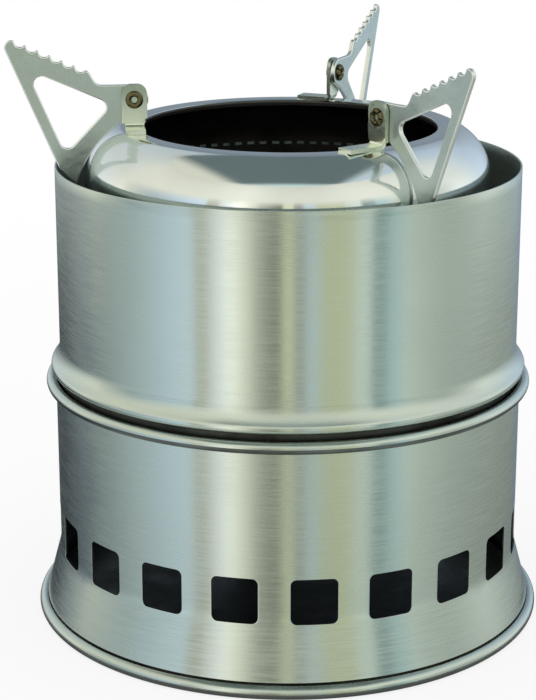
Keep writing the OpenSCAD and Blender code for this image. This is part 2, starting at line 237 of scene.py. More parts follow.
class ArmSizes(PropertyGroup):
    """Sizes of a pot arm, measured outward and up from its pivot."""
    thickness: length("Thickness", "Thickness of the plate", 1.2)
    edge: length("Edge", "Radius of the plate's broken edges", 0.28)
    neck: length("Neck", "Radius of the round end at the pivot", 3.6)
    bore: length("Bore", "Radius of the hole for the rivet", 1.56)
    step_out: length("Step", "Distance from the pivot to the step in the upper edge", 9.3)
    step_round: length("Step round", "Radius in the corner of the step", 2.4)
    heel_out: length("Heel out", "Distance outward to the heel of the serrated edge", 11.2)
    heel_up: length("Heel up", "Height of the heel above the pivot", 6.95)
    seat_slope: angle("Seat slope", "Slope of the serrated edge", 23.6)
    seat_length: length("Seat length", "Length of the serrated edge", 24.2)
    corner: length("Corner", "Radius of the heel and the toe", 0.8)
    tip_round: length("Tip round", "Radius of the tip", 1.7)
    notch_count: IntProperty(name="Serrations", description="Number of serrations", default=6)
    notch: length("Serration", "Radius of a serration", 1.45)
    notch_depth: length("Serration depth", "Depth of a serration", 0.95)
    notch_pitch: length("Serration pitch", "Distance between serrations", 3.25)
    notch_start: length("Serration start", "Distance from the heel to the first serration", 2.3)
    toe_angle: angle("Toe angle", "Angle of the toe's corner below the pivot's level", 42.8)
    toe_gap: length("Toe gap", "Gap between the folding toe and the body's rim", 0.4)
    hug_radius: length("Hollow radius", "Radius of the hollow edge that faces the dome", 30)
    hug_angle: angle("Hollow direction", "Direction in which the hollow edge comes closest to the dome", 38)
    hug_gap: length("Hollow gap", "Gap between the hollow edge and the dome", 0.4)
    window_top: length("Window top", "Width of metal above the window", 5.3)
    window_outer: length("Window outside", "Width of metal outside the window", 2.8)
    window_inner: length("Window inside", "Width of metal between the window and the dome", 4.1)
    window_lean: angle("Window lean", "Direction that the window's inner edge faces", 44)
    window_corner: length("Window corner", "Corner radius of the window", 2)


class BracketSizes(PropertyGroup):
    """Sizes of the brackets and rivets that carry the pot arms."""
    sheet: length("Sheet", "Thickness of a bracket", 1)
    side_gap: length("Side gap", "Gap on each side of an arm's plate", 0.15)
    tab_width: length("Tab width", "Width of the upright tab", 6.4)
    tab_rise: length("Tab rise", "Height of the tab above the pivot", 3.9)
    tab_round: length("Tab round", "Radius of the tab's upper corners", 2.4)
    foot_width: length("Foot width", "Width of the foot on the lip", 4.8)
    foot_left: length("Left foot", "Length of the left foot beyond the tab", 6.2)
    foot_right: length("Right foot", "Length of the right foot beyond the tab", 9.8)
    foot_back: length("Back foot", "Length of the back foot beyond the tab", 8.9)
    bend: length("Bend", "Inner radius of the bend", 0.6)
    shank: length("Shank", "Radius of a rivet's shank", 1.5)
    shank_bore: length("Shank bore", "Radius of the hole through a rivet", 0.75)
    head: length("Head", "Radius of a rivet's rolled heads", 2.25)


class Finishes(PropertyGroup):
    """Colours of the metals, as linear light."""
    shell: colour("Brushed shell", "Brushed stainless sheet", 0.60, 0.665, 0.625)
    chamber: colour("Polished chamber", "Polished stainless sheet", 0.77, 0.81, 0.81)
    arm: colour("Pot arm", "Satin stainless plate", 0.55, 0.63, 0.625)
    # Bare sheared metal, made brighter than the plate as a painted highlight along the edges
    cut_edge: colour("Cut edge", "Bright sheared edges of the pot arms", 0.90, 0.92, 0.89)
    bracket: colour("Bracket", "Warm stainless of the brackets", 0.86, 0.91, 0.765)
    rivet: colour("Rivet", "Brass of the rivets", 0.16, 0.14, 0.075)
    inner: colour("Inner steel", "Dark steel of the inner pieces", 0.20, 0.215, 0.215)
    # Soot of the chamber's inside, partly painted shade there, and painted shade in the crevice under the
    # body's bead, the base's groove and bead, the mouth's turned edge and the rivets' splits
    soot: colour("Soot", "Smoke-stained inside of the chamber", 0.035, 0.034, 0.033)
    ground: colour("Floor", "Pale floor", 0.86, 0.86, 0.86)


# Outlines and paths, as pairs of numbers

def ray(turn):
    return Vector((math.cos(turn), math.sin(turn)))


def arc(centre, radius, start, end, steps):
    """Points along an arc, with both its ends."""
    return [Vector(centre) + radius * ray(start + (end - start) * i / steps) for i in range(steps + 1)]


def meet(point, turn, other, other_turn):
    """Where two lines cross, each given by a point and a direction."""
    along, across = ray(turn), ray(other_turn)
    offset = other - point
    return point + along * (offset.cross(across) / along.cross(across))


def circles_meet(centre, radius, other_radius):
    """The two points where a circle crosses another one round the origin."""
    reach = centre.length
    along = centre / reach
    foot = (other_radius ** 2 - radius ** 2 + reach ** 2) / (2 * reach)
    side = math.sqrt(other_radius ** 2 - foot ** 2) * Vector((-along.y, along.x))
    return foot * along + side, foot * along - side


def fillet(before, corner, after, radius, steps=ROUND_STEPS):
    """Points that round one corner of an outline."""
    a, b = (before - corner).normalized(), (after - corner).normalized()
    half = a.angle(b) / 2
    centre = corner + (a + b).normalized() * radius / math.sin(half)
    first = corner + a * radius / math.tan(half) - centre
    last = corner + b * radius / math.tan(half) - centre
    start = math.atan2(first.y, first.x)
    sweep = math.remainder(math.atan2(last.y, last.x) - start, math.tau)
    return arc(centre, radius, start, start + sweep, steps)


def filleted(points, radius):
    """An open path with each inner corner rounded."""
    path = [points[0]]
    for before, corner, after in zip(points, points[1:], points[2:]):
        path += fillet(before, corner, after, radius, FOLD_STEPS)
    return path + [points[-1]]


def stretch(start, end, steps):
    """Points along a straight stretch, without its first point."""
    return [start.lerp(end, (i + 1) / steps) for i in range(steps)]


# Meshes

def link_new(name, data):
    """A new object in the scene."""
    item = bpy.data.objects.new(name, data)
    bpy.context.scene.collection.objects.link(item)
    return item


def new_piece(name, mesh, *materials):
    """A piece in the scene, with smooth faces and its materials."""
    for material in materials:
        mesh.materials.append(material)
    mesh.shade_smooth()
    return link_new(name, mesh)


def grid_faces(first, rows, wide):
    """Faces of a grid of points, which are listed row by row from the first one."""
    corners = [first + row * wide + i for row in range(rows - 1) for i in range(wide - 1)]
    return [(corner, corner + 1, corner + wide + 1, corner + wide) for corner in corners]


def mesh_from(name, verts, faces):
    """A mesh whose coinciding points are joined."""
    mesh = bpy.data.meshes.new(name)
    mesh.from_pydata([tuple(v) for v in verts], [], faces)
    joined = bmesh.new()
    joined.from_mesh(mesh)
    bmesh.ops.remove_doubles(joined, verts=joined.verts, dist=JOIN_REACH)
    joined.to_mesh(mesh)
    joined.free()
    return mesh


def add_modifier(piece, kind, **settings):
    modifier = piece.modifiers.new(kind.title(), kind)
    for key, value in settings.items():
        setattr(modifier, key, value)


def thicken(piece, sheet):
    """Gives a surface the thickness of its sheet, with broken edges. The inner side and the cut edges take
    the material before the outer side's."""
    add_modifier(piece, "SOLIDIFY", thickness=sheet, offset=-1, use_even_offset=True, material_offset=-1,
                 material_offset_rim=-1)
    add_modifier(piece, "BEVEL", width=SHEET_EDGE, segments=2, limit_method="ANGLE", angle_limit=BROKEN_FROM,
                 use_clamp_overlap=True, harden_normals=False)
    add_modifier(piece, "WELD", merge_threshold=WELD_REACH)
    add_modifier(piece, "WEIGHTED_NORMAL", keep_sharp=True, weight=60)


def seat(piece, body, node):
    """Puts a piece on its body, in the place of a node of the construction."""
    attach(piece, body)
    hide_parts(node)


def on_lathe(radius, height, turn):
    return Vector((radius * math.cos(turn), radius * math.sin(turn), height))


class Lathe:
    """Collects faces turned about the stove's axis. Paths run with the outside on their right."""

    def __init__(self):
        self.verts = []
        self.faces = []

    def add_face(self, corners):
        first = len(self.verts)
        self.verts += corners
        self.faces.append(tuple(range(first, first + len(corners))))

    def sweep(self, path, turns):
        """Turns a path through a list of angles."""
        self.loft([path] * len(turns), turns)

    def loft(self, paths, turns):
        """Joins paths with as many points each, which stand at a list of angles."""
        for left, right, start, end in zip(paths, paths[1:], turns, turns[1:]):
            for i in range(len(left) - 1):
                self.add_face([on_lathe(*left[i], start), on_lathe(*right[i], end),
                               on_lathe(*right[i + 1], end), on_lathe(*left[i + 1], start)])

    def pierced_cell(self, middle, half_turn, half_height, at_height, hole):
        """One upright cell of a wall with a hole in it. hole lists points as (turn, height) from the cell's
        middle, in step with the cell's own edge. at_height gives the wall's radius."""
        border = rectangle(half_turn, half_height, len(hole) // 4)
        rings = [[b.lerp(h, share) for b, h in zip(border, hole)] for share in CELL_RINGS]
        for outer, inner in zip(rings, rings[1:]):
            for i in range(len(border)):
                j = (i + 1) % len(border)
                self.add_face([on_lathe(at_height(middle.y + p.y), middle.y + p.y, middle.x + p.x)
                               for p in (outer[i], outer[j], inner[j], inner[i])])

    def mesh(self, name):
        return mesh_from(name, self.verts, self.faces)


def full_turn(columns):
    return [math.tau * i / columns for i in range(columns + 1)]


def square_hole(half, corner, arc_steps, flat_steps):
    """Outline of a square hole with round corners, from the middle of its lower left corner."""
    points = []
    inner = half - corner
    for k in range(4):
        spin = Matrix.Rotation(k * math.pi / 2, 2)
        side = arc((-inner, -inner), corner, math.radians(225), math.radians(270), arc_steps)
        side += stretch(side[-1], Vector((inner, -half)), flat_steps)
        side += arc((inner, -inner), corner, math.radians(270), math.radians(315), arc_steps)[1:]
        points += [spin @ p for p in side[:-1]]
    return points


def rectangle(half_width, half_height, sides):
    """Outline of a rectangle, from its lower left corner, with a number of steps along each side."""
    shares = [-1 + 2 * i / sides for i in range(sides)]
    edges = ([(a, -1) for a in shares], [(1, a) for a in shares], [(-a, 1) for a in shares],
             [(-1, -a) for a in shares])
    return [Vector((x * half_width, y * half_height)) for edge in edges for x, y in edge]


# Node building

class Shading:
    """Short ways to add and join the nodes of one tree."""

    def __init__(self, tree):
        self.tree = tree

    def node(self, kind, **settings):
        node = self.tree.nodes.new(kind)
        for key, value in settings.items():
            setattr(node, key, value)
        return node

    def put(self, target, value):
        """Joins an output to a socket, or sets a plain value on it."""
        if isinstance(value, bpy.types.NodeSocket):
            self.tree.links.new(value, target)
        else:
            target.default_value = value

    def noise(self, vector, scale, detail, roughness):
        node = self.node("ShaderNodeTexNoise")
        self.put(node.inputs["Vector"], vector)
        self.put(node.inputs["Scale"], scale)
        self.put(node.inputs["Detail"], detail)
        self.put(node.inputs["Roughness"], roughness)
        return node.outputs["Fac"]

    def math(self, operation, first, second):
        node = self.node("ShaderNodeMath", operation=operation)
        self.put(node.inputs[0], first)
        self.put(node.inputs[1], second)
        return node.outputs[0]

    def spread(self, value, low, high, to_low=0.0, to_high=1.0):
        """A value mapped from one range to another, held at its ends."""
        node = self.node("ShaderNodeMapRange", interpolation_type="SMOOTHSTEP")
        for name, number in (("Value", value), ("From Min", low), ("From Max", high),
                             ("To Min", to_low), ("To Max", to_high)):
            self.put(node.inputs[name], number)
        return node.outputs["Result"]

    def mix(self, share, first, second):
        """A colour between two colours."""
        node = self.node("ShaderNodeMix", data_type="RGBA")
        self.put(node.inputs["Factor"], share)
        self.put(node.inputs["A"], first)
        self.put(node.inputs["B"], second)
        return node.outputs["Result"]

    def between(self, share, low, high):
        """A share from 0 to 1, mapped to a range."""
        return self.spread(share, 0.0, 1.0, low, high)

    def tone(self, share, tint, low, high):
        """A colour between two brightnesses of a tint."""
        return self.mix(share, shade(tint, low), shade(tint, high))

    def place(self):
        """The place on the stove, in metres."""
        return self.node("ShaderNodeTexCoord").outputs["Object"]

    def parts_of_place(self):
        """The place on the stove along X, Y and Z."""
        node = self.node("ShaderNodeSeparateXYZ")
        self.put(node.inputs["Vector"], self.place())
        return node.outputs


def shade(tint, level=1.0):
    """A colour at a brightness, with alpha."""
    return (*(min(1.0, channel * level) for channel in tint), 1.0)


def new_group(name, inputs, outputs):
    """An empty shader group with number sockets. Returns its shading, its inputs and its outputs."""
    tree = bpy.data.node_groups.new(name, "ShaderNodeTree")
    for socket, default in inputs.items():
        given = tree.interface.new_socket(socket, in_out="INPUT", socket_type="NodeSocketFloat")
        given.default_value = default
    for socket in outputs:
        tree.interface.new_socket(socket, in_out="OUTPUT", socket_type="NodeSocketFloat")
    shading = Shading(tree)
    return shading, shading.node("NodeGroupInput").outputs, shading.node("NodeGroupOutput").inputs


def brushing_group(name):
    """Lines left by a brushing belt that runs round the stove, and broad clouds in the same finish."""
    s, given, made = new_group(name, {"Line Scale": 3200.0, "Cloud Scale": 28.0, "Stretch": 0.03},
                               ("Lines", "Clouds"))
    place = s.place()
    squash = s.node("ShaderNodeCombineXYZ")
    s.put(squash.inputs["X"], given["Stretch"])
    s.put(squash.inputs["Y"], given["Stretch"])
    s.put(squash.inputs["Z"], 1.0)
    drawn = s.node("ShaderNodeVectorMath", operation="MULTIPLY")
    s.put(drawn.inputs[0], place)
    s.put(drawn.inputs[1], squash.outputs["Vector"])
    lines = s.noise(drawn.outputs["Vector"], given["Line Scale"], detail=3.0, roughness=0.6)
    s.put(made["Lines"], s.spread(lines, *MARK_RANGE))
    clouds = s.noise(place, given["Cloud Scale"], detail=3.0, roughness=0.55)
    s.put(made["Clouds"], s.spread(clouds, *CLOUD_RANGE))
    return s.tree


def grain_group(name):
    """Fine even grain and broad clouds of a tumbled plate."""
    s, given, made = new_group(name, {"Grain Scale": 11000.0, "Cloud Scale": 55.0}, ("Grain", "Clouds"))
    place = s.place()
    grain = s.noise(place, given["Grain Scale"], detail=2.0, roughness=0.6)
    s.put(made["Grain"], s.spread(grain, *MARK_RANGE))
    clouds = s.noise(place, given["Cloud Scale"], detail=4.0, roughness=0.6)
    s.put(made["Clouds"], s.spread(clouds, *CLOUD_RANGE))
    return s.tree


def new_metal(name):
    """A material with a metal surface shader. Returns it, its shading and its shader's sockets."""
    material = bpy.data.materials.new(name)
    material.use_nodes = True
    shading = Shading(material.node_tree)
    surface = material.node_tree.nodes["Principled BSDF"].inputs
    surface["Metallic"].default_value = 1.0
    return material, shading, surface


def place_group(s, name, make, **values):
    """A group node with its own values. Its group is made on its first use."""
    node = s.node("ShaderNodeGroup", node_tree=bpy.data.node_groups.get(name) or make(name))
    for key, value in values.items():
        node.inputs[key.replace("_", " ")].default_value = value
    return node.outputs


def dress(s, surface, colour, roughness, height, bump):
    """Joins a colour, a roughness and a bump, given as its strength and depth, to a metal's shader."""
    s.put(surface["Base Color"], colour)
    s.put(surface["Roughness"], roughness)
    node = s.node("ShaderNodeBump")
    for socket, value in zip(("Height", "Strength", "Distance"), (height, *bump)):
        s.put(node.inputs[socket], value)
    s.put(surface["Normal"], node.outputs["Normal"])


def brushed_steel(name, tint):
    """Stainless sheet brushed round the stove, which draws light out into upright streaks."""
    material, s, surface = new_metal(name)
    brushing = place_group(s, "Brushing", brushing_group)
    tone = s.tone(brushing["Lines"], tint, *BRUSHED_TONE)
    haze = s.between(brushing["Clouds"], *BRUSHED_HAZE)
    roughness = s.math("ADD", s.between(brushing["Lines"], *BRUSHED_ROUGHNESS), haze)
    dress(s, surface, tone, roughness, brushing["Lines"], BRUSHED_BUMP)
    surface["Anisotropic"].default_value = 0.75
    surface["Anisotropic Rotation"].default_value = 0.25
    tangent = s.node("ShaderNodeTangent", direction_type="RADIAL", axis="Z")
    s.put(surface["Tangent"], tangent.outputs["Tangent"])
    return material


def polished_steel(name, tint):
    """Polished stainless, with the faint haze of the polishing wheel."""
    material, s, surface = new_metal(name)
    brushing = place_group(s, "Brushing", brushing_group, Line_Scale=3500.0, Cloud_Scale=45.0)
    tone = s.tone(brushing["Clouds"], tint, *POLISHED_TONE)
    haze = s.between(brushing["Lines"], *POLISHED_HAZE)
    roughness = s.math("ADD", s.between(brushing["Clouds"], *POLISHED_ROUGHNESS), haze)
    dress(s, surface, tone, roughness, brushing["Lines"], POLISHED_BUMP)
    return material


def satin_steel(name, tint, roughness):
    """Tumbled satin plate with fine grain."""
    material, s, surface = new_metal(name)
    grain = place_group(s, "Grain", grain_group)
    tone = s.tone(grain["Clouds"], tint, *SATIN_TONE)
    waves = s.math("ADD", grain["Clouds"], s.between(grain["Grain"], *SATIN_GRAIN))
    dress(s, surface, tone, s.between(grain["Grain"], *roughness), waves, SATIN_BUMP)
    return material


def top_dulled_steel(name, tint, low, high):
    """Satin strip, pale at its foot and duller towards its top."""
    material, s, surface = new_metal(name)
    grain = place_group(s, "Grain", grain_group)
    share = s.math("ADD", s.spread(s.parts_of_place()["Z"], low, high, *DULL_BY_HEIGHT),
                   s.between(grain["Clouds"], *DULL_BY_CLOUDS))
    dull = [channel * fade for channel, fade in zip(tint, DULL_STRIP)]
    tone = s.mix(share, shade(tint, STRIP_TONE), shade(dull))
    dress(s, surface, tone, s.between(grain["Grain"], *STRIP_ROUGHNESS), grain["Clouds"], SATIN_BUMP)
    return material


def stained_steel(name, clean, stained):
    """Dull inner steel, clouded with smoke stain."""
    material, s, surface = new_metal(name)
    grain = place_group(s, "Grain", grain_group, Cloud_Scale=60.0)
    tone = s.mix(grain["Clouds"], shade(clean), shade(stained))
    dress(s, surface, tone, s.between(grain["Clouds"], *STAIN_ROUGHNESS), grain["Grain"], STAIN_BUMP)
    return material


def smoke_light_and_shade_steel(name, clean, stained, rim):
    """Inside of the body: stained brushed sheet, lighter at its rim and front as painted light, darker lower
    down as painted shade.
    """
    material, s, surface = new_metal(name)
    brushing = place_group(s, "Brushing", brushing_group)
    place = s.parts_of_place()
    near_rim = s.spread(place["Z"], rim - LIT_RIM_DEPTH, rim, *LIT_BY_RIM)
    front = s.spread(place["Y"], *LIT_FRONT, 1.0, 0.0)
    share = s.math("ADD", s.math("MAXIMUM", near_rim, front), s.between(brushing["Clouds"], *CLEAN_BY_CLOUDS))
    tone = s.mix(share, shade(stained, STAIN_AND_SHADE_TONE), shade(clean))
    deep = s.spread(place["Z"], rim - LIT_RIM_DEPTH, rim, *SMOKED_DEPTH_ROUGHNESS)
    roughness = s.math("ADD", deep, s.between(brushing["Lines"], *SMOKED_ROUGHNESS))
    dress(s, surface, tone, roughness, brushing["Lines"], SMOKED_BUMP)
    return material


def finish_of(make, name, *values):
    """A material by name, made on its first use."""
    return bpy.data.materials.get(name) or make(name, *values)


def shell_finish(context):
    return finish_of(brushed_steel, "brushed_sheet", context.scene.stove_finishes.shell)


def inner_finish(context):
    tint = context.scene.stove_finishes.inner
    return finish_of(stained_steel, "stained_sheet", tint, [INNER_STAIN * channel for channel in tint])


# Near-black soot, also used as painted shade in crevices, grooves, splits and the mouth's turned edge
def soot_and_shade_finish(context):
    soot = context.scene.stove_finishes.soot
    return finish_of(stained_steel, "sooted_sheet", [LIGHT_SOOT_AND_SHADE * channel for channel in soot], soot)


# Shells

def base_lines(sizes):
    """Heights and radii that the base's paths share."""
    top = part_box("base_shell")[1]
    bead = Vector((top.x - sizes.foot_roll, sizes.foot_roll - BEAD_FLAT))
    crease = bead + Vector((-sizes.foot_roll_out, math.sqrt(sizes.foot_roll ** 2 - sizes.foot_roll_out ** 2)))
    lean = math.atan((crease.x - sizes.wall_radius) / (sizes.foot_height - crease.y))
    blend_top = sizes.foot_height + sizes.foot_blend * math.tan(lean / 2)
    rim = Vector((sizes.wall_radius + sizes.rim_roll - sizes.sheet, top.z - sizes.rim_roll))
    return bead, crease, lean, blend_top, rim


class STOVE_OT_base_shell(Operator):
    """Windowed base with its flared foot, rolled bead and rolled rim"""
    bl_idname = "stove.base_shell"
    bl_label = "Base shell"

    def execute(self, context):
        sizes = context.scene.stove_base
        bead, crease, lean, blend_top, rim = base_lines(sizes)
        half = sizes.window_width / 2 + WINDOW_MARGIN
        low, high = sizes.window_middle - half, sizes.window_middle + half

        def wall_at(height):
            """The wall's outer radius: upright, then rounded into the slope of the flare."""
            below = blend_top - height
            if below <= 0:
                return sizes.wall_radius
            if below < sizes.foot_blend * math.sin(lean):
                return sizes.wall_radius + sizes.foot_blend - math.sqrt(sizes.foot_blend ** 2 - below ** 2)
            return sizes.wall_radius + (sizes.foot_height - height) * math.tan(lean)

        def wall(start, end, steps):
            heights = [start + (end - start) * i / steps for i in range(steps + 1)]
            return [Vector((wall_at(z), z)) for z in heights]

        pitch, count = sizes.window_pitch, sizes.window_count
        first = sizes.window_turn - pitch * count / 2
        turns = [first + pitch * i / WINDOW_SIDES for i in range(count * WINDOW_SIDES + 1)]
        gap = math.tau - pitch * count
        seam = [turns[-1] + gap * i / SEAM_COLUMNS for i in range(SEAM_COLUMNS + 1)]
        foot = arc(bead, sizes.foot_roll, BEAD_CURL, BEAD_TOP, BEAD_STEPS)
        foot = [Vector((p.x, max(p.y, 0))) for p in foot]
        flare = crease.y + sizes.groove
        groove = [foot[-1], Vector((crease.x - sizes.groove, crease.y)), Vector((wall_at(flare), flare))]
        rolled = arc(rim, sizes.rim_roll - sizes.sheet, math.pi, RIM_CURL, RIM_STEPS)

        lathe = Lathe()
        for columns in (turns, seam):
            lathe.sweep(foot, columns)
            lathe.sweep(groove, columns)
            lathe.sweep(wall(flare, low, FLARE_STEPS), columns)
            lathe.sweep(wall(high, rim.y, WALL_STEPS), columns)
            lathe.sweep(rolled, columns)
        lathe.sweep(wall(low, high, WINDOW_SIDES), seam)
        flat_steps = WINDOW_SIDES - 2 * WINDOW_ARC
        outline = square_hole(sizes.window_width / 2, sizes.window_corner, WINDOW_ARC, flat_steps)
        hole = [Vector((p.x / sizes.wall_radius, p.y)) for p in outline]
        for i in range(count):
            middle = Vector((first + pitch * (i + 0.5), sizes.window_middle))
            lathe.pierced_cell(middle, pitch / 2, half, wall_at, hole)
        inside, shell, soot = inner_finish(context), shell_finish(context), soot_and_shade_finish(context)
        # The groove between the flare and the bead, and the bead's inner half under the stove, take the soot
        # finish as painted shade
        wall_slot, rim_slot, shaded_groove_slot = 1, 2, 4
        piece = new_piece("base_wall", lathe.mesh("base_wall"), inside, shell, shell, soot, soot)
        for face in piece.data.polygons:
            away, height = face.center.xy.length, face.center.z
            face.material_index = wall_slot if height < rim.y else rim_slot
            inner_half = height < flare and away < bead.x - sizes.foot_roll / 2
            if inner_half or foot[-1].y < height < flare and away < crease.x:
                face.material_index = shaded_groove_slot
        thicken(piece, sizes.sheet)
        seat(piece, "base", "base_shell")
        return {"FINISHED"}


class STOVE_OT_body_shell(Operator):
    """Outer body with its spigot, swaged bead and plain rim"""
    bl_idname = "stove.body_shell"
    bl_label = "Body shell"

    def execute(self, context):
        base, sizes = context.scene.stove_base, context.scene.stove_body
        rim = base_lines(base)[-1]
        low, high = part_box("body_shell")
        bead = Vector((high.x - sizes.bead_radius, rim.y + base.rim_roll + sizes.bead_rise))
        touch = rim + (base.rim_roll + sizes.seat_gap) * ray(SEAT_TURN)
        slope = math.tan(SEAT_TURN - math.pi / 2)
        riser = rim.x - sizes.riser_in
        wall = sizes.wall_radius
        corners = [Vector((wall - sizes.spigot_lip, low.z)), Vector((wall, low.z)),
                   Vector((wall, touch.y - (touch.x - wall) * slope)),
                   Vector((riser, touch.y + (riser - touch.x) * slope)),
                   Vector((riser, bead.y - math.sqrt(sizes.bead_radius ** 2 - (riser - bead.x) ** 2)))]
        start = -math.acos((riser - bead.x) / sizes.bead_radius)
        shoulder = arc(bead, sizes.bead_radius, start, sizes.bead_end, SWAGE_STEPS)
        sweep = (shoulder[-1].x - wall) / (1 - math.cos(sizes.bead_end))
        centre = Vector((wall + sweep, shoulder[-1].y + sweep * math.sin(sizes.bead_end)))
        upper = arc(centre, sweep, math.pi + sizes.bead_end, math.pi, SWEEP_STEPS)
        path = filleted(corners, FOLD) + shoulder[1:] + upper[1:]
        path += stretch(upper[-1], Vector((wall, high.z)), BODY_STEPS)
        lathe = Lathe()
        lathe.sweep(path, full_turn(BODY_COLUMNS))
        finishes = context.scene.stove_finishes
        # Its inside is lighter at the rim and front as painted light, and darker lower down as painted shade
        inside = finish_of(smoke_light_and_shade_steel, "smoked_sheet", finishes.shell, finishes.inner, high.z)
        shell, soot = shell_finish(context), soot_and_shade_finish(context)
        # The seat and riser under the bead, in the crevice above the base's rim, take the soot finish as
        # painted shade
        wall_slot, shaded_seat_slot = 1, 2
        piece = new_piece("body_wall", lathe.mesh("body_wall"), inside, shell, soot)
        for face in piece.data.polygons:
            on_seat = corners[2].y < face.center.z < shoulder[2].y
            face.material_index = shaded_seat_slot if on_seat else wall_slot
        thicken(piece, base.sheet)
        seat(piece, "body", "body_shell")
        return {"FINISHED"}


def dome_lines(sizes):
    """Radius and middle of the dome's round, where it meets the lip, and the height of the lip."""
    wall, _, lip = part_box("fire_chamber")[1]
    run = wall - sizes.mouth_radius - sizes.lip_width
    radius = (run ** 2 + sizes.dome_drop ** 2) / (2 * run)
    centre = Vector((wall - radius, lip - sizes.dome_drop))
    start = math.atan2(sizes.dome_drop, sizes.mouth_radius + sizes.lip_width - centre.x)
    return radius, centre, start, lip


class STOVE_OT_fire_chamber(Operator):
    """Polished chamber with its air slots, domed shoulder, flat lip and turned mouth"""
    bl_idname = "stove.fire_chamber"
    bl_label = "Fire chamber"

    def execute(self, context):
        sizes = context.scene.stove_chamber
        finishes = context.scene.stove_finishes
        radius, centre, start, lip = dome_lines(sizes)
        low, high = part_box("fire_chamber")
        wall = high.x
        half = sizes.jet_height / 2 + JET_MARGIN
        middle = lip - sizes.jet_drop
        turns = full_turn(sizes.jet_count * JET_SIDES)
        mouth = Vector((sizes.mouth_radius + sizes.lip_round, lip - sizes.lip_round))
        dome = arc(centre, radius, 0, start, DOME_STEPS)
        lip_path = [dome[-1]] + stretch(dome[-1], Vector((mouth.x, lip)), LIP_STEPS)
        lip_path += arc(mouth, sizes.lip_round, math.pi / 2, math.pi, ROUND_STEPS)[1:]
        lip_path.append(Vector((sizes.mouth_radius, lip - sizes.lip_turn)))

        lathe = Lathe()
        foot = Vector((wall, low.z))
        lathe.sweep([foot] + stretch(foot, Vector((wall, middle - half)), CHAMBER_STEPS), turns)
        lathe.sweep([Vector((wall, middle + half)), dome[0]], turns)
        lathe.sweep(dome, turns)
        lathe.sweep(lip_path, turns)
        step = math.tau / sizes.jet_count
        hole = rectangle(sizes.jet_width / 2 / wall, sizes.jet_height / 2, JET_SIDES)
        for i in range(sizes.jet_count):
            lathe.pierced_cell(Vector((step * i, middle)), step / 2, half, lambda z: wall, hole)
        polish = finish_of(polished_steel, "polished_sheet", finishes.chamber)
        # The chamber's inner side takes the soot finish, as soot with painted shade, and the edge turned down
        # inside the mouth takes it as painted shade
        piece = new_piece("chamber_wall", lathe.mesh("chamber_wall"), soot_and_shade_finish(context), polish)
        for face in piece.data.polygons:
            in_mouth = face.center.xy.length < mouth.x and face.center.z < lip - sizes.lip_round / 4
            face.material_index = 0 if in_mouth else 1
        thicken(piece, context.scene.stove_base.sheet)
        seat(piece, "chamber", "fire_chamber")
        return {"FINISHED"}


class STOVE_OT_inner_pieces(Operator):
    """Finish of the floor pan, support ring and grate, whose shapes are right as they are"""
    bl_idname = "stove.inner_pieces"
    bl_label = "Floor, ring and grate"

    def execute(self, context):
        for name in ("base_floor", "support_ring", "grate"):
            mesh = frame["nodes"][name].data
            mesh.materials.clear()
            mesh.materials.append(inner_finish(context))
        return {"FINISHED"}


# Pot arms, brackets and rivets

def arm_frame(place):
    """An arm's own frame: outward, up and across its plate, with the pivot at the origin. Also gives the side
    of the plate that its bracket is on."""
    joint = next(j for j in frame["joints"] if j["child"] == f"arm_{place}")
    across = Vector(joint["axis"])
    outward = Vector((-across.y, across.x, 0))
    pivot = Vector(joint["pos_m"])
    low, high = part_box(f"bracket_{place}")
    side = 1 if ((low + high) / 2 - pivot).dot(across) > 0 else -1
    turn = Matrix((outward, (0, 0, 1), across)).transposed().to_4x4()
    return Matrix.Translation(pivot) @ turn, side


def arm_outline(sizes, dome_radius, dome_centre, toe_radius):
    """The arm's edge, clockwise from the foot of its hollow, in its own plane."""
    heel = Vector((sizes.heel_out, sizes.heel_up))
    tip = heel + sizes.seat_length * ray(sizes.seat_slope)
    toe = toe_radius * ray(-sizes.toe_angle)
    hollow = dome_centre - (sizes.hug_radius - dome_radius - sizes.hug_gap) * ray(sizes.hug_angle)
    low = circles_meet(hollow, sizes.hug_radius, toe_radius)[0]
    high = circles_meet(hollow, sizes.hug_radius, sizes.neck)[1]

    def turn_of(point):
        return math.atan2(point.y, point.x)

    edge = arc(hollow, sizes.hug_radius, turn_of(low - hollow), turn_of(high - hollow), HOLLOW_STEPS)
    edge += arc((0, 0), sizes.neck, turn_of(high) % math.tau, math.pi / 2, NECK_STEPS)[1:]
    step = Vector((sizes.step_out, sizes.neck))
    edge += fillet(Vector((0, sizes.neck)), step, heel, sizes.step_round)
    edge += fillet(step, heel, tip, sizes.corner, CORNER_STEPS)
    lift = sizes.notch - sizes.notch_depth
    reach = math.acos(lift / sizes.notch)
    downward = sizes.seat_slope - math.pi / 2
    for i in range(sizes.notch_count):
        along = sizes.notch_start + i * sizes.notch_pitch
        middle = heel + along * ray(sizes.seat_slope) - lift * ray(downward)
        edge += arc(middle, sizes.notch, downward - reach, downward + reach, NOTCH_STEPS)
    edge += fillet(heel, tip, toe, sizes.tip_round)[1:]
    toe_end = -sizes.toe_angle - TOE_RUN
    edge += fillet(tip, toe, toe_radius * ray(toe_end), sizes.corner / 2, CORNER_STEPS)
    edge += arc((0, 0), toe_radius, toe_end, turn_of(low), TOE_STEPS)[:-1]
    return edge, heel, tip, toe, hollow


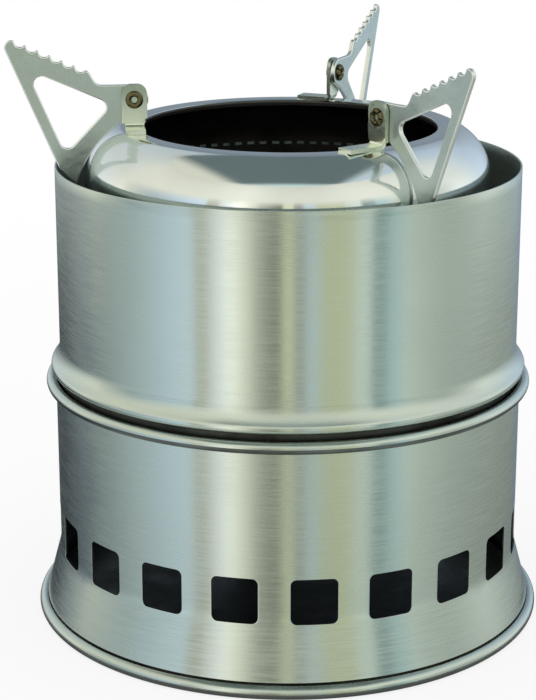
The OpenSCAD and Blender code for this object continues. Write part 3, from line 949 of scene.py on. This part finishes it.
def arm_window(sizes, heel, tip, toe, hollow):
    """The three-cornered window, from the lines that run beside the arm's edges."""
    top = heel - sizes.window_top * ray(sizes.seat_slope + math.pi / 2)
    slant = math.atan2(tip.y - toe.y, tip.x - toe.x)
    outer = toe + sizes.window_outer * ray(slant + math.pi / 2)
    inner = hollow + (sizes.hug_radius + sizes.window_inner) * ray(sizes.window_lean)
    inner_turn = sizes.window_lean + math.pi / 2
    corners = [meet(top, sizes.seat_slope, inner, inner_turn), meet(inner, inner_turn, outer, slant),
               meet(outer, slant, top, sizes.seat_slope)]
    points = []
    for i, corner in enumerate(corners):
        points += fillet(corners[i - 1], corner, corners[(i + 1) % 3], sizes.window_corner)
    return points


def plate_mesh(name, outlines, thickness, edge):
    """A flat plate cut to its outlines, with broken edges. The first outline is the outside."""
    curve = bpy.data.curves.new(name, "CURVE")
    curve.dimensions = "2D"
    curve.fill_mode = "BOTH"
    curve.extrude = thickness / 2 - edge
    curve.bevel_depth = edge
    curve.bevel_resolution = 2
    curve.offset = -edge
    for points in outlines:
        spline = curve.splines.new("POLY")
        spline.points.add(len(points) - 1)
        for slot, point in zip(spline.points, points):
            slot.co = (*point, 0, 1)
        spline.use_cyclic_u = True
    holder = link_new(name, curve)
    shaped = holder.evaluated_get(bpy.context.evaluated_depsgraph_get())
    mesh = bpy.data.meshes.new_from_object(shaped)
    bpy.data.objects.remove(holder)
    bpy.data.curves.remove(curve)
    mesh.name = name
    mesh.materials.clear()
    return mesh


class STOVE_OT_pot_arms(Operator):
    """Three serrated folding arms that a pot stands on"""
    bl_idname = "stove.pot_arms"
    bl_label = "Pot arms"

    def execute(self, context):
        sizes = context.scene.stove_arm
        finishes = context.scene.stove_finishes
        radius, centre, _, _ = dome_lines(context.scene.stove_chamber)
        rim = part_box("body_shell")[1].z
        rim_radius = context.scene.stove_body.wall_radius - context.scene.stove_base.sheet
        satin = finish_of(satin_steel, "satin_plate", finishes.arm, ARM_ROUGHNESS)
        bright = finish_of(satin_steel, "cut_edge", finishes.cut_edge, CUT_ROUGHNESS)
        for place in ARM_PLACES:
            to_row, _ = arm_frame(place)
            outward, _, across = to_row.to_3x3().col
            pivot = Vector((to_row.translation.xy.dot(outward.xy), to_row.translation.z))
            offset = abs(to_row.translation.xy.dot(across.xy)) + sizes.thickness / 2
            rim_edge = Vector((math.sqrt(rim_radius ** 2 - offset ** 2), rim))
            toe_radius = (rim_edge - pivot).length - sizes.toe_gap
            outside, *marks = arm_outline(sizes, radius, centre - pivot, toe_radius)
            bore = arc((0, 0), sizes.bore, 0, math.tau, BORE_STEPS)[:-1]
            outlines = [outside, bore, arm_window(sizes, *marks)]
            mesh = plate_mesh(f"arm_plate_{place}", outlines, sizes.thickness, sizes.edge)
            mesh.transform(to_row)
            piece = new_piece(f"arm_plate_{place}", mesh, satin, bright)
            # The edges and the rims of the holes take the bright finish: bare sheared metal with a painted
            # highlight
            for face in mesh.polygons:
                face.material_index = 0 if abs(face.normal.dot(across)) > FLAT_FACE else 1
            add_modifier(piece, "WEIGHTED_NORMAL", weight=90)
            seat(piece, f"arm_{place}", f"arm_{place}")
        return {"FINISHED"}


class STOVE_OT_brackets(Operator):
    """Bent brackets that carry the arms' rivets"""
    bl_idname = "stove.brackets"
    bl_label = "Brackets"

    def execute(self, context):
        sizes = context.scene.stove_bracket
        plate = context.scene.stove_arm.thickness
        finishes = context.scene.stove_finishes
        strip_low, strip_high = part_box("bracket_left")
        steel = finish_of(top_dulled_steel, "warm_strip", finishes.bracket, strip_low.z, strip_high.z)
        near = plate / 2 + sizes.side_gap
        for place in ARM_PLACES:
            to_row, side = arm_frame(place)
            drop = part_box(f"bracket_{place}")[0].z - to_row.translation.z
            bend = Vector((near + sizes.sheet + sizes.bend, drop + sizes.sheet + sizes.bend))
            foot_end = Vector((near + sizes.sheet + getattr(sizes, f"foot_{place}"), drop))
            foot = [foot_end] + stretch(foot_end, Vector((bend.x, drop)), STRIP_STEPS)
            foot += arc(bend, sizes.bend + sizes.sheet, -math.pi / 2, -math.pi, ROUND_STEPS)[1:]
            rows = [(p, sizes.foot_width) for p in foot]
            rows.append((foot[-1] + Vector((0, BRACKET_EDGE)), sizes.tab_width))
            straight = sizes.tab_rise - sizes.tab_round
            tab = stretch(rows[-1][0], Vector((near, straight)), STRIP_STEPS)
            rows += [(p, sizes.tab_width) for p in tab]
            for i in range(1, ROUND_STEPS + 1):
                turn = i * math.pi / 2 / ROUND_STEPS
                narrow = 2 * sizes.tab_round * (1 - math.cos(turn))
                point = Vector((near, straight + sizes.tab_round * math.sin(turn)))
                rows.append((point, sizes.tab_width - narrow))
            verts = []
            for point, width in rows:
                for i in range(BRACKET_COLUMNS + 1):
                    across = width * (i / BRACKET_COLUMNS - 0.5)
                    verts.append(to_row @ Vector((across, point.y, side * point.x)))
            faces = grid_faces(0, len(rows), BRACKET_COLUMNS + 1)
            if side > 0:
                faces = [face[::-1] for face in faces]
            mesh = mesh_from(f"bracket_strip_{place}", verts, faces)
            piece = new_piece(f"bracket_strip_{place}", mesh, steel)
            add_modifier(piece, "SOLIDIFY", thickness=sizes.sheet, offset=-1, use_even_offset=True)
            add_modifier(piece, "BEVEL", width=BRACKET_EDGE, segments=3, limit_method="ANGLE",
                         angle_limit=BROKEN_FROM)
            add_modifier(piece, "WEIGHTED_NORMAL", weight=80)
            seat(piece, "chamber", f"bracket_{place}")
        return {"FINISHED"}


def rivet_path(sizes, low, high, closing):
    """Half section of a tubular rivet. closing is how much of its roll the second head has."""
    roll = (sizes.head - sizes.shank_bore) / 2
    far = closing * roll
    path = arc((sizes.shank_bore + roll, low), roll, -math.pi, 0, RIVET_STEPS)
    path += [Vector((sizes.shank, low)), Vector((sizes.shank, high))]
    path += arc((sizes.shank_bore + far, high), far, 0, math.pi, RIVET_STEPS)
    return path + [path[0]]


class STOVE_OT_rivets(Operator):
    """Tubular rivets with rolled heads, on which the arms turn"""
    bl_idname = "stove.rivets"
    bl_label = "Rivets"

    def execute(self, context):
        sizes = context.scene.stove_bracket
        arm_side = context.scene.stove_arm.thickness / 2 + sizes.side_gap
        tab_side = arm_side + sizes.sheet
        brass = finish_of(satin_steel, "dull_brass", context.scene.stove_finishes.rivet, RIVET_ROUGHNESS)
        sector = math.tau / SPLITS
        turns, lobes = [], []
        for k in range(SPLITS):
            shares = [LOBE_SHARE * i / LOBE_COLUMNS for i in range(LOBE_COLUMNS + 1)]
            lobes += [True] * len(shares) + [False, False]
            shares += [LOBE_SHARE + SPLIT_WALL, 1 - SPLIT_WALL]
            turns += [sector * (k + share) for share in shares]
        turns.append(math.tau)
        lobes.append(True)
        for place in ARM_PLACES:
            to_row, side = arm_frame(place)
            low, high = (-arm_side, tab_side) if place == SPLAYED_AT_TAB else (-tab_side, arm_side)
            facing = side if place == SPLAYED_AT_TAB else -side
            paths = [rivet_path(sizes, low, high, 1 if lobe else SPLIT_ROLL) for lobe in lobes]
            lathe = Lathe()
            lathe.loft(paths, turns)
            mesh = lathe.mesh(f"rivet_tube_{place}")
            piece = new_piece(f"rivet_tube_{place}", mesh, brass, soot_and_shade_finish(context))
            # The faces of the splits in the splayed head take the soot finish as painted shade
            for face in mesh.polygons:
                share = math.atan2(face.center.y, face.center.x) / sector % 1
                face.material_index = 1 if face.center.z > high and share > LOBE_SHARE else 0
            mesh.transform(to_row @ Matrix.Scale(facing, 4, (0, 0, 1)))
            if facing < 0:
                mesh.flip_normals()
            mesh.set_sharp_from_angle(angle=RIVET_CREASE)
            seat(piece, "chamber", f"rivet_{place}")
        return {"FINISHED"}


# Stage

CAMERA_PLACE = (-0.782 * MM, -510.46 * MM, 219.65 * MM)
CAMERA_PITCH = math.radians(16.4655)
CAMERA_YAW = math.radians(-0.4966)
CAMERA_LENS = 103.77
SENSOR = 36.0
# Area lights: name, place, size and power, and the point of the stove that they face
LAMPS = (("overhead_light", (0.0, -0.15, 1.3), 1.2, 4.0), ("left_light", (-1.0, -0.9, 0.9), 0.6, 1.0))
LAMP_AIM = (0.0, 0.0, 0.07)
WHITE = (1.0, 1.0, 1.0)
SKY_LEVEL = 0.85
DISC_SIDES = 64
FLOOR_RADIUS = 6.0
FLOOR_HEIGHT = -0.05 * MM
# Share of plain white that the camera sees in the floor, and the distances between which it rises
FLOOR_WHITE = (0.8, 1.0)
FLOOR_FADE = (0.12, 0.6)
SHADE_RADIUS = 0.074
SHADE_LEVEL = 0.10
PANEL_DISTANCE = 1.5
PANEL_STEP = 2.0
# Rows of the panels: height, then the share of their brightness and how far they blend into one soft wall,
# both in front of the stove, and both again behind it
PANEL_ROWS = (
    (-1.3, (0.5, 0.0), (0.5, 0.0)),
    (-0.6, (0.69, 0.0), (0.62, 0.0)),
    (-0.3, (1.08, 0.0), (0.95, 0.0)),
    (-0.1, (0.77, 0.0), (1.15, 0.6)),
    (0.1, (0.68, 0.0), (1.25, 1.0)),
    (0.4, (0.9, 0.0), (1.1, 1.0)),
    (0.7, (1.05, 1.0), (1.0, 1.0)),
    (1.2, (1.02, 1.0), (1.0, 1.0)),
    (1.7, (0.95, 1.0), (0.95, 1.0)),
    (2.0, (0.9, 1.0), (0.9, 1.0)),
)
# Where behind starts, by degrees from the front
BEHIND = ((0, 0.0), (78, 0.0), (105, 1.0), (180, 1.0))
# Brightness of that soft wall, by degrees from the front
SOFT_WALL = ((-180, 0.29), (-169, 0.29), (-158, 0.68), (-130, 0.76), (-105, 0.86), (-75, 0.84), (-50, 0.90),
             (-25, 1.03), (-6, 0.86), (15, 0.86), (40, 0.98), (60, 0.96), (110, 0.90), (145, 0.70),
             (168, 0.31), (180, 0.29))
# Share of blue in it, by degrees from the front
SOFT_BLUE = ((-180, 0.9), (-168, 0.9), (-155, 0.5), (-130, 0.35), (-100, 0.0), (60, 0.1), (115, 0.3),
             (140, 0.9), (180, 0.9))
# Ceiling: places along X and Y, and the brightness at each crossing, a row for each place along Y
CEILING_X = (-1.5, -1.15, -0.85, 0.85, 1.1, 1.5)
CEILING_Y = (-1.5, -1.42, -1.15, 1.5)
CEILING = (
    (0.90, 0.95, 1.00, 1.00, 0.95, 0.90),
    (0.90, 0.88, 0.85, 0.85, 0.88, 0.90),
    (0.85, 0.80, 0.19, 0.20, 0.75, 0.80),
    (0.78, 0.75, 0.19, 0.20, 0.65, 0.70),
)
BELOW_LEVEL = 0.62
NEUTRAL = (1.0, 1.0, 0.97)
COOL = (0.86, 1.0, 1.03)
AZURE = (0.85, 1.0, 1.10)
GREEN = (0.92, 1.0, 0.90)
CYAN = (0.76, 1.0, 1.0)
BLUE = (0.76, 0.93, 1.12)
CREAM = (1.02, 1.0, 0.84)
WARM = (0.98, 1.0, 0.68)
# Colour of the ceiling at each place along X
CEILING_TINTS = (CREAM, CREAM, CYAN, CYAN, COOL, BLUE)
# Reflecting panels round the stove: from and to, in degrees from the front, and brightness at both edges
PANELS = (
    (-180, -140, 0.04, 0.08, BLUE),
    (-140, -110, 0.08, 0.30, BLUE),
    (-110, -70, 0.31, 0.78, COOL),
    (-70, -45, 0.78, 1.08, AZURE),
    (-45, -38, 0.66, 0.74, CREAM),
    (-38, -27, 0.95, 1.65, NEUTRAL),
    (-27, -16, 1.65, 0.85, CREAM),
    (-16, -3, 0.72, 0.20, CREAM),
    (-3, 3, 1.0, 1.0, WARM),
    (3, 8, 0.40, 0.50, NEUTRAL),
    (8, 15, 0.86, 0.86, COOL),
    (15, 31, 0.78, 0.82, WARM),
    (31, 40, 0.95, 1.10, GREEN),
    (40, 48, 0.42, 0.56, CYAN),
    (48, 56, 0.80, 0.88, CYAN),
    (56, 66, 0.94, 0.80, GREEN),
    (66, 84, 0.80, 0.64, GREEN),
    (84, 150, 0.64, 0.35, GREEN),
    (150, 180, 0.35, 0.26, BLUE),
)


def level_at(table, place):
    """A value between the entries of a table of places and values."""
    for (start, first), (end, last) in zip(table, table[1:]):
        if place <= end:
            return first + (last - first) * (place - start) / (end - start)
    return table[-1][1]


def bare_shading(owner):
    """Empties the nodes of a material or the world, and gives its shading."""
    owner.use_nodes = True
    owner.node_tree.nodes.clear()
    return Shading(owner.node_tree)


def stage_material(name):
    """A material with its output alone. Returns it, its shading and the output's surface socket."""
    material = bpy.data.materials.new(name)
    s = bare_shading(material)
    return material, s, s.node("ShaderNodeOutputMaterial").inputs["Surface"]


def only_reflected(item):
    """Leaves a piece of the stage to be seen in reflections alone."""
    item.visible_camera = False
    item.visible_diffuse = False
    item.visible_shadow = False


def panel_lights():
    """Points, faces and light of the panels, the ceiling over them and the ground below them."""
    verts, faces, glow = [], [], []
    rows = len(PANEL_ROWS)
    for start, end, first, last, tint in PANELS:
        steps = max(1, round((end - start) / PANEL_STEP))
        faces += grid_faces(len(verts), steps + 1, rows)
        for i in range(steps + 1):
            degrees = start + (end - start) * i / steps
            turn = math.radians(degrees)
            lit = Vector(tint) * (first + (last - first) * i / steps)
            hue = Vector(CREAM).lerp(Vector(BLUE), level_at(SOFT_BLUE, degrees))
            soft = hue * level_at(SOFT_WALL, degrees)
            behind = level_at(BEHIND, abs(degrees))
            for height, front, back in PANEL_ROWS:
                share, blend = Vector(front).lerp(Vector(back), behind)
                verts.append((PANEL_DISTANCE * math.sin(turn), -PANEL_DISTANCE * math.cos(turn), height))
                glow.append(lit.lerp(soft, blend) * share)
    faces += grid_faces(len(verts), len(CEILING_Y), len(CEILING_X))
    for y, levels in zip(CEILING_Y, CEILING):
        for x, level, tint in zip(CEILING_X, levels, CEILING_TINTS):
            verts.append((x, y, PANEL_ROWS[-1][0]))
            glow.append(Vector(tint) * level)
    faces += grid_faces(len(verts), 2, 2)
    for y in (-PANEL_DISTANCE, PANEL_DISTANCE):
        for x in (-PANEL_DISTANCE, PANEL_DISTANCE):
            verts.append((x, y, PANEL_ROWS[0][0]))
            glow.append(Vector(GREEN) * BELOW_LEVEL)
    return verts, faces, glow


def add_panels():
    """Upright panels that show only in reflections, as round a studio table."""
    verts, faces, glow = panel_lights()
    mesh = bpy.data.meshes.new("studio_panels")
    mesh.from_pydata(verts, [], faces)
    layer = mesh.color_attributes.new("glow", "FLOAT_COLOR", "POINT")
    for slot, value in zip(layer.data, glow):
        slot.color = (*value, 1.0)
    material, s, surface = stage_material("panel_glow")
    light = s.node("ShaderNodeEmission")
    s.put(light.inputs["Color"], s.node("ShaderNodeVertexColor", layer_name="glow").outputs["Color"])
    s.put(surface, light.outputs["Emission"])
    mesh.materials.append(material)
    panels = link_new("studio_panels", mesh)
    only_reflected(panels)


def add_disc(name, radius, material):
    """A flat round piece of the stage."""
    mesh = bpy.data.meshes.new(name)
    disc = bmesh.new()
    bmesh.ops.create_circle(disc, cap_ends=True, radius=radius, segments=DISC_SIDES)
    bmesh.ops.translate(disc, verts=disc.verts, vec=(0, 0, FLOOR_HEIGHT))
    disc.to_mesh(mesh)
    disc.free()
    mesh.materials.append(material)
    piece = link_new(name, mesh)
    return piece


def add_floor(tint):
    """A pale floor that shows white to the camera and keeps the stove's shadow."""
    material, s, surface = stage_material("pale_floor")
    paint = s.node("ShaderNodeBsdfDiffuse")
    paint.inputs["Color"].default_value = shade(tint)
    white = s.node("ShaderNodeEmission")
    white.inputs["Strength"].default_value = 1.0
    path = s.node("ShaderNodeLightPath").outputs
    seen = s.math("MAXIMUM", path["Is Camera Ray"], path["Is Transmission Ray"])
    away = s.node("ShaderNodeVectorMath", operation="LENGTH")
    s.put(away.inputs[0], s.place())
    whiteness = s.spread(away.outputs["Value"], *FLOOR_FADE, *FLOOR_WHITE)
    blend = s.node("ShaderNodeMixShader")
    s.put(blend.inputs["Fac"], s.math("MULTIPLY", seen, whiteness))
    s.put(blend.inputs[1], paint.outputs["BSDF"])
    s.put(blend.inputs[2], white.outputs["Emission"])
    s.put(surface, blend.outputs["Shader"])
    floor = add_disc("floor", FLOOR_RADIUS, material)
    floor.visible_glossy = False


def add_shade():
    """The dark foot of the floor under the stove, as its bead reflects it."""
    material, s, surface = stage_material("floor_shade")
    glow = s.node("ShaderNodeEmission")
    glow.inputs["Strength"].default_value = SHADE_LEVEL
    s.put(surface, glow.outputs["Emission"])
    only_reflected(add_disc("floor_shade", SHADE_RADIUS, material))


def add_lamp(name, place, size, power):
    """A square soft light that faces the stove."""
    light = bpy.data.lights.new(name, "AREA")
    light.size = size
    light.energy = power
    lamp = link_new(name, light)
    lamp.location = place
    lamp.rotation_euler = (Vector(LAMP_AIM) - Vector(place)).to_track_quat("-Z", "Y").to_euler()
    lamp.visible_camera = False
    lamp.visible_glossy = False


def set_world():
    """White to the camera and in reflections, and a plain grey level for everything else."""
    world = bpy.data.worlds.new("studio")
    bpy.context.scene.world = world
    s = bare_shading(world)
    path = s.node("ShaderNodeLightPath").outputs
    seen = s.math("MAXIMUM", path["Is Camera Ray"], path["Is Glossy Ray"])
    seen = s.math("MAXIMUM", seen, path["Is Transmission Ray"])
    sky = s.node("ShaderNodeBackground")
    s.put(sky.inputs["Color"], s.tone(seen, WHITE, SKY_LEVEL, 1.0))
    s.put(s.node("ShaderNodeOutputWorld").inputs["Surface"], sky.outputs["Background"])


def add_camera():
    """The camera, at the photograph's viewing angle."""
    data = bpy.data.cameras.new("camera")
    data.lens = CAMERA_LENS
    data.sensor_width = SENSOR
    camera = link_new("camera", data)
    camera.location = CAMERA_PLACE
    ahead = Vector((math.sin(CAMERA_YAW) * math.cos(CAMERA_PITCH),
                    math.cos(CAMERA_YAW) * math.cos(CAMERA_PITCH), -math.sin(CAMERA_PITCH)))
    camera.rotation_euler = ahead.to_track_quat("-Z", "Y").to_euler()
    bpy.context.scene.camera = camera


class STOVE_OT_stage(Operator):
    """Pale floor, soft studio light and the camera"""
    bl_idname = "stove.stage"
    bl_label = "Stage"

    def execute(self, context):
        context.scene.view_settings.view_transform = "Standard"
        set_world()
        add_floor(context.scene.stove_finishes.ground)
        add_shade()
        add_panels()
        for lamp in LAMPS:
            add_lamp(*lamp)
        add_camera()
        return {"FINISHED"}


class STOVE_PT_pieces(Panel):
    """Lists the stove's pieces in the sidebar"""
    bl_idname = "STOVE_PT_pieces"
    bl_label = "Twig stove"
    bl_space_type = "VIEW_3D"
    bl_region_type = "UI"
    bl_category = "Stove"

    def draw(self, context):
        for operator in OPERATORS:
            self.layout.operator(operator.bl_idname)
        for group in GROUPS:
            sizes = getattr(context.scene, group)
            for name in sizes.__annotations__:
                self.layout.prop(sizes, name)


GROUPS = {
    "stove_base": BaseSizes,
    "stove_body": BodySizes,
    "stove_chamber": ChamberSizes,
    "stove_arm": ArmSizes,
    "stove_bracket": BracketSizes,
    "stove_finishes": Finishes,
}
OPERATORS = (
    STOVE_OT_base_shell,
    STOVE_OT_body_shell,
    STOVE_OT_fire_chamber,
    STOVE_OT_inner_pieces,
    STOVE_OT_pot_arms,
    STOVE_OT_brackets,
    STOVE_OT_rivets,
    STOVE_OT_stage,
)


def register():
    for group, kind in GROUPS.items():
        bpy.utils.register_class(kind)
        setattr(bpy.types.Scene, group, PointerProperty(type=kind))
    for operator in OPERATORS:
        bpy.utils.register_class(operator)
    bpy.utils.register_class(STOVE_PT_pieces)


def unregister():
    bpy.utils.unregister_class(STOVE_PT_pieces)
    for operator in reversed(OPERATORS):
        bpy.utils.unregister_class(operator)
    for group, kind in GROUPS.items():
        delattr(bpy.types.Scene, group)
        bpy.utils.unregister_class(kind)


def main():
    register()
    for operator in OPERATORS:
        group, name = operator.bl_idname.split(".")
        getattr(getattr(bpy.ops, group), name)()


if __name__ == "__main__":
    main()
